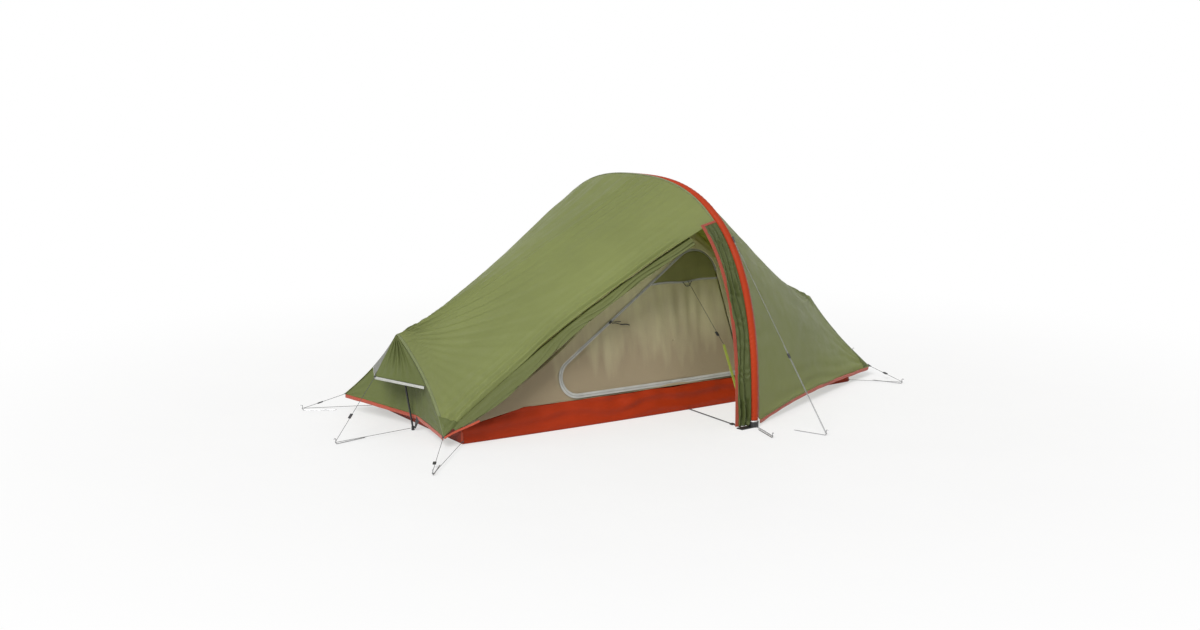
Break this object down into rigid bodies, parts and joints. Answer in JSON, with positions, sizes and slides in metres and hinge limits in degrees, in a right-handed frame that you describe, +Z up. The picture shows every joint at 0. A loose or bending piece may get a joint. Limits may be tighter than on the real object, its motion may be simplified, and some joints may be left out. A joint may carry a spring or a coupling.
{
  "type": "backpacking tent",
  "caption": "Low hoop backpacking tent: arched flysheet with rolled porch door, inner tent with zipped door, groundsheet, hoop cups, struts, guylines and pegs.",
  "frame": {"origin": "on the flat underside of the groundsheet, below the middle of the hoop", "axes": "+X along the tent from the foot end to the head end, -Y towards the porch, +Z up"},
  "size_m": [3.1772, 2.173, 1.0517],
  "materials": {
    "fly_fabric": "coated ripstop, satin",
    "orange_fabric": "woven, satin",
    "groundsheet_fabric": "coated woven, satin",
    "inner_fabric": "light woven, matt",
    "vent_mesh": "fine mesh, matt",
    "grey_tape": "woven tape",
    "beam_bladder": "smooth film",
    "black_plastic": "moulded",
    "black_webbing": "woven webbing",
    "lime_webbing": "woven webbing",
    "grey_cord": "braided cord",
    "peg_alloy": "bare wire",
    "strut_fibre": "fibre rod"
  },
  "bodies": {
    "tent": {"air_beam": "beam_bladder", "beam_valve": "peg_alloy", "fly_door": "fly_fabric", "fly_foot_canopy": "fly_fabric", "fly_foot_end_wall": "fly_fabric", "fly_head_canopy": "fly_fabric", "fly_head_end_wall": "fly_fabric", "foot_hem_binding": "orange_fabric", "foot_hood_stay": "grey_tape", "foot_strut": "strut_fibre", "foot_vent_hood": "fly_fabric", "groundsheet": "groundsheet_fabric", "guyline_foot_far": "grey_cord", "guyline_foot_hood": "grey_cord", "guyline_foot_near": "grey_cord", "guyline_head_far": "grey_cord", "guyline_head_hood": "grey_cord", "guyline_head_near": "grey_cord", "guyline_hoop_far": "grey_cord", "guyline_hoop_foot_far": "grey_cord", "guyline_hoop_foot_near": "grey_cord", "guyline_hoop_near": "grey_cord", "head_hem_binding": "orange_fabric", "head_hood_stay": "grey_tape", "head_strut": "strut_fibre", "head_vent_hood": "fly_fabric", "hoop_cup_far": "black_webbing", "hoop_cup_near": "black_webbing", "hoop_sleeve": "orange_fabric", "inner_canopy": "inner_fabric", "inner_door_zip": "grey_tape", "inner_near_wall": "inner_fabric", "peg_foot_far": "peg_alloy", "peg_foot_hood": "peg_alloy", "peg_foot_near": "peg_alloy", "peg_head_far": "peg_alloy", "peg_head_hood": "peg_alloy", "peg_head_near": "peg_alloy", "peg_hoop_far": "peg_alloy", "peg_hoop_foot_far": "peg_alloy", "peg_hoop_foot_near": "peg_alloy", "peg_hoop_near": "peg_alloy", "porch_strap": "black_webbing", "storm_flap": "fly_fabric", "tension_cord": "black_webbing", "tension_strap": "lime_webbing"},
    "runner_foot_near_body": {"runner_foot_near": "black_plastic"},
    "runner_foot_far_body": {"runner_foot_far": "black_plastic"},
    "runner_head_near_body": {"runner_head_near": "black_plastic"},
    "runner_head_far_body": {"runner_head_far": "black_plastic"},
    "runner_foot_hood_body": {"runner_foot_hood": "black_plastic"},
    "runner_head_hood_body": {"runner_head_hood": "black_plastic"},
    "runner_hoop_near_body": {"runner_hoop_near": "black_plastic"},
    "runner_hoop_far_body": {"runner_hoop_far": "black_plastic"},
    "tension_runner_body": {"tension_runner": "black_plastic"},
    "porch_strap_buckle_body": {"porch_strap_buckle": "black_plastic"},
    "zip_slider_body": {"zip_slider": "black_plastic"},
    "valve_cap_body": {"valve_cap": "black_plastic"},
    "inner_door_body": {"inner_door": "inner_fabric", "inner_vent_mesh": "vent_mesh"}
  },
  "joints": [
    {"name": "runner_foot_near_slide", "type": "slide", "parent": "tent", "child": "runner_foot_near_body", "axis": [-0.6276, -0.7738, -0.0856], "range_m": [-0.1, 0.08]},
    {"name": "runner_foot_far_slide", "type": "slide", "parent": "tent", "child": "runner_foot_far_body", "axis": [-0.5924, 0.7252, -0.3509], "range_m": [-0.06, 0.06]},
    {"name": "runner_head_near_slide", "type": "slide", "parent": "tent", "child": "runner_head_near_body", "axis": [-0.1092, -0.98, -0.1666], "range_m": [-0.06, 0.08]},
    {"name": "runner_head_far_slide", "type": "slide", "parent": "tent", "child": "runner_head_far_body", "axis": [0.8709, 0.4627, -0.1658], "range_m": [-0.06, 0.08]},
    {"name": "runner_foot_hood_slide", "type": "slide", "parent": "tent", "child": "runner_foot_hood_body", "axis": [-0.6957, -0.2039, -0.6887], "range_m": [-0.1, 0.09]},
    {"name": "runner_head_hood_slide", "type": "slide", "parent": "tent", "child": "runner_head_hood_body", "axis": [0.7915, -0.0698, -0.6072], "range_m": [-0.1, 0.08]},
    {"name": "runner_hoop_near_slide", "type": "slide", "parent": "tent", "child": "runner_hoop_near_body", "axis": [0.129, -0.4964, -0.8584], "range_m": [-0.04, 0.25]},
    {"name": "runner_hoop_far_slide", "type": "slide", "parent": "tent", "child": "runner_hoop_far_body", "axis": [0.1225, 0.4981, -0.8584], "range_m": [-0.04, 0.25]},
    {"name": "tension_runner_slide", "type": "slide", "parent": "tent", "child": "tension_runner_body", "axis": [-0.1593, -0.7764, -0.6098], "range_m": [-0.25, 0.04]},
    {"name": "porch_strap_buckle_slide", "type": "slide", "parent": "tent", "child": "porch_strap_buckle_body", "axis": [-0.1443, -0.9895, 0], "range_m": [-0.2, 0.04]},
    {"name": "zip_slider_slide", "type": "slide", "parent": "tent", "child": "zip_slider_body", "axis": [0.8477, 0.0013, 0.5304], "range_m": [-0.14, 0.13]},
    {"name": "valve_cap_slide", "type": "slide", "parent": "tent", "child": "valve_cap_body", "axis": [0, 1, 0], "range_m": [0, 0.03]},
    {"name": "inner_door_swing", "type": "hinge", "parent": "tent", "child": "inner_door_body", "pos_m": [0.33, -0.35641, 0.133], "axis": [0.2056, -0.1623, -0.9651], "range_deg": [0, 50]}
  ]
}
